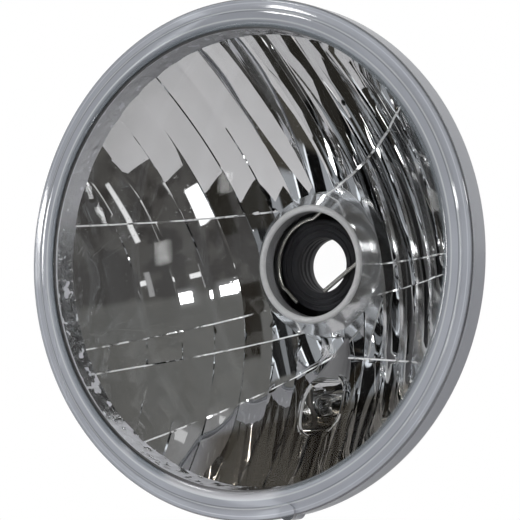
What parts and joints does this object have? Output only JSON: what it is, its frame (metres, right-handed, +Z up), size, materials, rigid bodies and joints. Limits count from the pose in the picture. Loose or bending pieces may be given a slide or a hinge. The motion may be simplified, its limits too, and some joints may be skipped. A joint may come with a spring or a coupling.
{
  "type": "round motorcycle headlight",
  "caption": "Round sealed-rim motorcycle headlight insert: clear domed lens, faceted reflector, H4-type bulb seat with wire clip, rubber boot and a small position lamp.",
  "frame": {"origin": "centre of the rim's rear seat face, on the lamp's axis", "axes": "-Y out of the lens along the beam, +Y out of the back, +Z up as fitted, +X to the right as seen from the front"},
  "size_m": [0.178, 0.0951, 0.1792],
  "materials": {
    "lens_glass": "clear, polished, faint blue-grey in the thick rim",
    "sealant": "matte grey adhesive",
    "reflector_mirror": "aluminised moulding, mirror bright inside",
    "zinc_steel": "zinc plated pressed steel",
    "spring_steel": "drawn spring wire",
    "black_rubber": "matte moulded rubber",
    "holder_plastic": "moulded lamp holder",
    "contact_brass": "tinned and bright brass",
    "bulb_glass": "clear blown glass"
  },
  "bodies": {
    "root": {"lens": "lens_glass", "lens_sealant": "sealant", "reflector": "reflector_mirror", "bulb_seat_ring": "zinc_steel", "seat_rivets": "zinc_steel", "retaining_clip": "spring_steel", "dust_boot": "black_rubber", "pilot_grommet": "black_rubber", "pilot_holder": "holder_plastic", "pilot_contacts": "contact_brass", "pilot_bulb_cap": "contact_brass", "pilot_bulb_glass": "bulb_glass", "pilot_bulb_stem": "bulb_glass", "pilot_filament": "spring_steel", "breather_cap": "black_rubber"}
  },
  "joints": []
}
